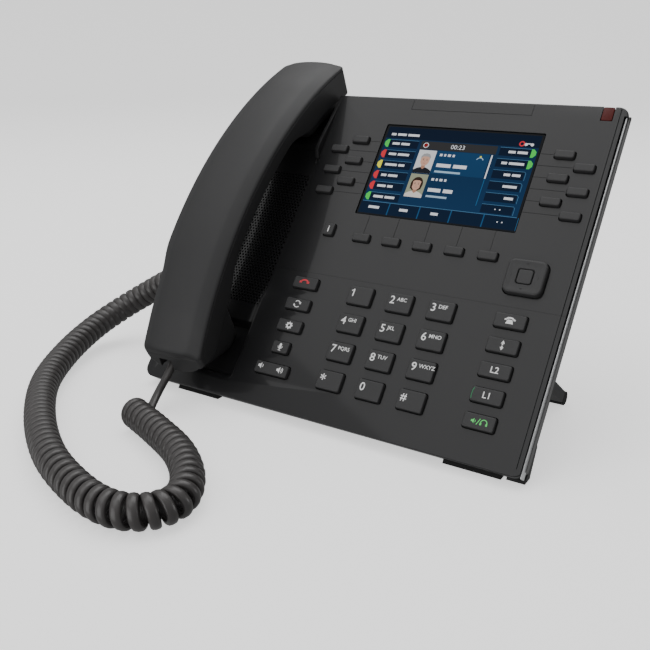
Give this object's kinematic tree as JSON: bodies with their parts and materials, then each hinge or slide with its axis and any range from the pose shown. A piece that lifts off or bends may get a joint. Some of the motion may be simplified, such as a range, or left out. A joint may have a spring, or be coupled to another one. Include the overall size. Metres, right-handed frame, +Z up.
{
  "type": "desk ip phone",
  "caption": "Desk IP phone: sloping body with a colour screen, keypad and side keys, a curved handset on a curly cord in a left-hand cradle, and a folding rear stand.",
  "frame": {"origin": "centre of the phone's footprint on the table, measured without the cord", "axes": "+X to the phone's right as its user sees it, +Y from the user to the back, +Z up"},
  "size_m": [0.3118, 0.2761, 0.1825],
  "materials": {
    "cover_plastic": "fine texture, semi-gloss above the keypad and matt below",
    "rear_plastic": "fine texture, matt",
    "handset_plastic": "satin",
    "key_plastic": "satin with printed legends",
    "trim_metal": "bright",
    "screen_cover": "clear gloss over a lit colour panel",
    "lamp_plastic": "translucent",
    "circuit_board": "lacquered",
    "socket_plastic": "plain",
    "driver_metal": "plain",
    "foot_rubber": "matt",
    "cord_jacket": "satin"
  },
  "bodies": {
    "base": {"front_cover": "cover_plastic", "rear_cover": "rear_plastic", "edge_trim": "trim_metal", "display_panel": "screen_cover", "message_lamp": "lamp_plastic", "main_board": "circuit_board", "socket_block": "socket_plastic", "base_speaker": "driver_metal", "front_foot": "foot_rubber", "cord_lead": "cord_jacket", "cord_coil": "cord_jacket"},
    "handset": {"handset_upper_shell": "handset_plastic", "handset_lower_shell": "handset_plastic", "handset_receiver": "driver_metal", "handset_microphone": "driver_metal"},
    "stand": {"stand": "rear_plastic", "stand_foot": "foot_rubber"},
    "hook_switch": {"hook_switch": "key_plastic"},
    "digit_key_1": {"digit_key_1": "key_plastic"},
    "digit_key_2": {"digit_key_2": "key_plastic"},
    "digit_key_3": {"digit_key_3": "key_plastic"},
    "digit_key_4": {"digit_key_4": "key_plastic"},
    "digit_key_5": {"digit_key_5": "key_plastic"},
    "digit_key_6": {"digit_key_6": "key_plastic"},
    "digit_key_7": {"digit_key_7": "key_plastic"},
    "digit_key_8": {"digit_key_8": "key_plastic"},
    "digit_key_9": {"digit_key_9": "key_plastic"},
    "star_key": {"star_key": "key_plastic"},
    "digit_key_0": {"digit_key_0": "key_plastic"},
    "hash_key": {"hash_key": "key_plastic"},
    "directory_key": {"directory_key": "key_plastic"},
    "swap_key": {"swap_key": "key_plastic"},
    "line_2_key": {"line_2_key": "key_plastic"},
    "line_1_key": {"line_1_key": "key_plastic"},
    "speaker_key": {"speaker_key": "key_plastic"},
    "hang_up_key": {"hang_up_key": "key_plastic"},
    "redial_key": {"redial_key": "key_plastic"},
    "options_key": {"options_key": "key_plastic"},
    "mute_key": {"mute_key": "key_plastic"},
    "left_tab_key_1": {"left_tab_key_1": "key_plastic"},
    "right_tab_key_1": {"right_tab_key_1": "key_plastic"},
    "left_tab_key_2": {"left_tab_key_2": "key_plastic"},
    "right_tab_key_2": {"right_tab_key_2": "key_plastic"},
    "left_tab_key_3": {"left_tab_key_3": "key_plastic"},
    "right_tab_key_3": {"right_tab_key_3": "key_plastic"},
    "left_tab_key_4": {"left_tab_key_4": "key_plastic"},
    "right_tab_key_4": {"right_tab_key_4": "key_plastic"},
    "left_tab_key_5": {"left_tab_key_5": "key_plastic"},
    "right_tab_key_5": {"right_tab_key_5": "key_plastic"},
    "left_tab_key_6": {"left_tab_key_6": "key_plastic"},
    "right_tab_key_6": {"right_tab_key_6": "key_plastic"},
    "soft_key_1": {"soft_key_1": "key_plastic"},
    "soft_key_2": {"soft_key_2": "key_plastic"},
    "soft_key_3": {"soft_key_3": "key_plastic"},
    "soft_key_4": {"soft_key_4": "key_plastic"},
    "soft_key_5": {"soft_key_5": "key_plastic"},
    "info_key": {"info_key": "key_plastic"},
    "volume_rocker": {"volume_rocker": "key_plastic"},
    "navigation_ring": {"navigation_ring": "key_plastic"},
    "select_key": {"select_key": "key_plastic"}
  },
  "joints": [
    {"name": "digit_key_1_press", "type": "slide", "parent": "base", "child": "digit_key_1", "axis": [0, -0.7815, 0.6239], "range_m": [-0.0012, 0], "stiffness_N_per_m": 200},
    {"name": "digit_key_2_press", "type": "slide", "parent": "base", "child": "digit_key_2", "axis": [0, -0.7815, 0.6239], "range_m": [-0.0012, 0], "stiffness_N_per_m": 200},
    {"name": "digit_key_3_press", "type": "slide", "parent": "base", "child": "digit_key_3", "axis": [0, -0.7815, 0.6239], "range_m": [-0.0012, 0], "stiffness_N_per_m": 200},
    {"name": "digit_key_4_press", "type": "slide", "parent": "base", "child": "digit_key_4", "axis": [0, -0.7815, 0.6239], "range_m": [-0.0012, 0], "stiffness_N_per_m": 200},
    {"name": "digit_key_5_press", "type": "slide", "parent": "base", "child": "digit_key_5", "axis": [0, -0.7815, 0.6239], "range_m": [-0.0012, 0], "stiffness_N_per_m": 200},
    {"name": "digit_key_6_press", "type": "slide", "parent": "base", "child": "digit_key_6", "axis": [0, -0.7815, 0.6239], "range_m": [-0.0012, 0], "stiffness_N_per_m": 200},
    {"name": "digit_key_7_press", "type": "slide", "parent": "base", "child": "digit_key_7", "axis": [0, -0.7815, 0.6239], "range_m": [-0.0012, 0], "stiffness_N_per_m": 200},
    {"name": "digit_key_8_press", "type": "slide", "parent": "base", "child": "digit_key_8", "axis": [0, -0.7815, 0.6239], "range_m": [-0.0012, 0], "stiffness_N_per_m": 200},
    {"name": "digit_key_9_press", "type": "slide", "parent": "base", "child": "digit_key_9", "axis": [0, -0.7815, 0.6239], "range_m": [-0.0012, 0], "stiffness_N_per_m": 200},
    {"name": "star_key_press", "type": "slide", "parent": "base", "child": "star_key", "axis": [0, -0.7815, 0.6239], "range_m": [-0.0012, 0], "stiffness_N_per_m": 200},
    {"name": "digit_key_0_press", "type": "slide", "parent": "base", "child": "digit_key_0", "axis": [0, -0.7815, 0.6239], "range_m": [-0.0012, 0], "stiffness_N_per_m": 200},
    {"name": "hash_key_press", "type": "slide", "parent": "base", "child": "hash_key", "axis": [0, -0.7815, 0.6239], "range_m": [-0.0012, 0], "stiffness_N_per_m": 200},
    {"name": "directory_key_press", "type": "slide", "parent": "base", "child": "directory_key", "axis": [0, -0.7815, 0.6239], "range_m": [-0.0012, 0], "stiffness_N_per_m": 200},
    {"name": "swap_key_press", "type": "slide", "parent": "base", "child": "swap_key", "axis": [0, -0.7815, 0.6239], "range_m": [-0.0012, 0], "stiffness_N_per_m": 200},
    {"name": "line_2_key_press", "type": "slide", "parent": "base", "child": "line_2_key", "axis": [0, -0.7815, 0.6239], "range_m": [-0.0012, 0], "stiffness_N_per_m": 200},
    {"name": "line_1_key_press", "type": "slide", "parent": "base", "child": "line_1_key", "axis": [0, -0.7815, 0.6239], "range_m": [-0.0012, 0], "stiffness_N_per_m": 200},
    {"name": "speaker_key_press", "type": "slide", "parent": "base", "child": "speaker_key", "axis": [0, -0.7815, 0.6239], "range_m": [-0.0012, 0], "stiffness_N_per_m": 200},
    {"name": "hang_up_key_press", "type": "slide", "parent": "base", "child": "hang_up_key", "axis": [0, -0.7815, 0.6239], "range_m": [-0.0012, 0], "stiffness_N_per_m": 200},
    {"name": "redial_key_press", "type": "slide", "parent": "base", "child": "redial_key", "axis": [0, -0.7815, 0.6239], "range_m": [-0.0012, 0], "stiffness_N_per_m": 200},
    {"name": "options_key_press", "type": "slide", "parent": "base", "child": "options_key", "axis": [0, -0.7815, 0.6239], "range_m": [-0.0012, 0], "stiffness_N_per_m": 200},
    {"name": "mute_key_press", "type": "slide", "parent": "base", "child": "mute_key", "axis": [0, -0.7815, 0.6239], "range_m": [-0.0012, 0], "stiffness_N_per_m": 200},
    {"name": "left_tab_key_1_press", "type": "slide", "parent": "base", "child": "left_tab_key_1", "axis": [0, -0.7815, 0.6239], "range_m": [-0.0012, 0], "stiffness_N_per_m": 200},
    {"name": "right_tab_key_1_press", "type": "slide", "parent": "base", "child": "right_tab_key_1", "axis": [0, -0.7815, 0.6239], "range_m": [-0.0012, 0], "stiffness_N_per_m": 200},
    {"name": "left_tab_key_2_press", "type": "slide", "parent": "base", "child": "left_tab_key_2", "axis": [0, -0.7815, 0.6239], "range_m": [-0.0012, 0], "stiffness_N_per_m": 200},
    {"name": "right_tab_key_2_press", "type": "slide", "parent": "base", "child": "right_tab_key_2", "axis": [0, -0.7815, 0.6239], "range_m": [-0.0012, 0], "stiffness_N_per_m": 200},
    {"name": "left_tab_key_3_press", "type": "slide", "parent": "base", "child": "left_tab_key_3", "axis": [0, -0.7815, 0.6239], "range_m": [-0.0012, 0], "stiffness_N_per_m": 200},
    {"name": "right_tab_key_3_press", "type": "slide", "parent": "base", "child": "right_tab_key_3", "axis": [0, -0.7815, 0.6239], "range_m": [-0.0012, 0], "stiffness_N_per_m": 200},
    {"name": "left_tab_key_4_press", "type": "slide", "parent": "base", "child": "left_tab_key_4", "axis": [0, -0.7815, 0.6239], "range_m": [-0.0012, 0], "stiffness_N_per_m": 200},
    {"name": "right_tab_key_4_press", "type": "slide", "parent": "base", "child": "right_tab_key_4", "axis": [0, -0.7815, 0.6239], "range_m": [-0.0012, 0], "stiffness_N_per_m": 200},
    {"name": "left_tab_key_5_press", "type": "slide", "parent": "base", "child": "left_tab_key_5", "axis": [0, -0.7815, 0.6239], "range_m": [-0.0012, 0], "stiffness_N_per_m": 200},
    {"name": "right_tab_key_5_press", "type": "slide", "parent": "base", "child": "right_tab_key_5", "axis": [0, -0.7815, 0.6239], "range_m": [-0.0012, 0], "stiffness_N_per_m": 200},
    {"name": "left_tab_key_6_press", "type": "slide", "parent": "base", "child": "left_tab_key_6", "axis": [0, -0.7815, 0.6239], "range_m": [-0.0012, 0], "stiffness_N_per_m": 200},
    {"name": "right_tab_key_6_press", "type": "slide", "parent": "base", "child": "right_tab_key_6", "axis": [0, -0.7815, 0.6239], "range_m": [-0.0012, 0], "stiffness_N_per_m": 200},
    {"name": "soft_key_1_press", "type": "slide", "parent": "base", "child": "soft_key_1", "axis": [0, -0.7815, 0.6239], "range_m": [-0.0012, 0], "stiffness_N_per_m": 200},
    {"name": "soft_key_2_press", "type": "slide", "parent": "base", "child": "soft_key_2", "axis": [0, -0.7815, 0.6239], "range_m": [-0.0012, 0], "stiffness_N_per_m": 200},
    {"name": "soft_key_3_press", "type": "slide", "parent": "base", "child": "soft_key_3", "axis": [0, -0.7815, 0.6239], "range_m": [-0.0012, 0], "stiffness_N_per_m": 200},
    {"name": "soft_key_4_press", "type": "slide", "parent": "base", "child": "soft_key_4", "axis": [0, -0.7815, 0.6239], "range_m": [-0.0012, 0], "stiffness_N_per_m": 200},
    {"name": "soft_key_5_press", "type": "slide", "parent": "base", "child": "soft_key_5", "axis": [0, -0.7815, 0.6239], "range_m": [-0.0012, 0], "stiffness_N_per_m": 200},
    {"name": "info_key_press", "type": "slide", "parent": "base", "child": "info_key", "axis": [0, -0.7815, 0.6239], "range_m": [-0.0012, 0], "stiffness_N_per_m": 200},
    {"name": "select_key_press", "type": "slide", "parent": "base", "child": "select_key", "axis": [0, -0.7815, 0.6239], "range_m": [-0.0008, 0], "stiffness_N_per_m": 250},
    {"name": "navigation_ring_rock", "type": "hinge", "parent": "base", "child": "navigation_ring", "pos_m": [0.09125, -0.00349, 0.08187], "axis": [1, 0, 0], "range_deg": [-3, 3], "stiffness_Nm_per_rad": 0.08},
    {"name": "volume_rocker_rock", "type": "hinge", "parent": "base", "child": "volume_rocker", "pos_m": [-0.03165, -0.05103, 0.02232], "axis": [0, 0.6239, 0.7815], "range_deg": [-3, 3], "stiffness_Nm_per_rad": 0.06},
    {"name": "handset_lift", "type": "slide", "parent": "base", "child": "handset", "axis": [0, -0.7815, 0.6239], "range_m": [0, 0.12]},
    {"name": "hook_switch_travel", "type": "slide", "parent": "base", "child": "hook_switch", "axis": [0, -0.7815, 0.6239], "range_m": [0, 0.0035]},
    {"name": "stand_fold", "type": "hinge", "parent": "base", "child": "stand", "pos_m": [0.03075, -0.0075, 0.03517], "axis": [1, 0, 0], "range_deg": [0, 84]}
  ],
  "couplings": [
    {"joint": "hook_switch_travel", "follows": "handset_lift", "ratio": 0.029}
  ]
}
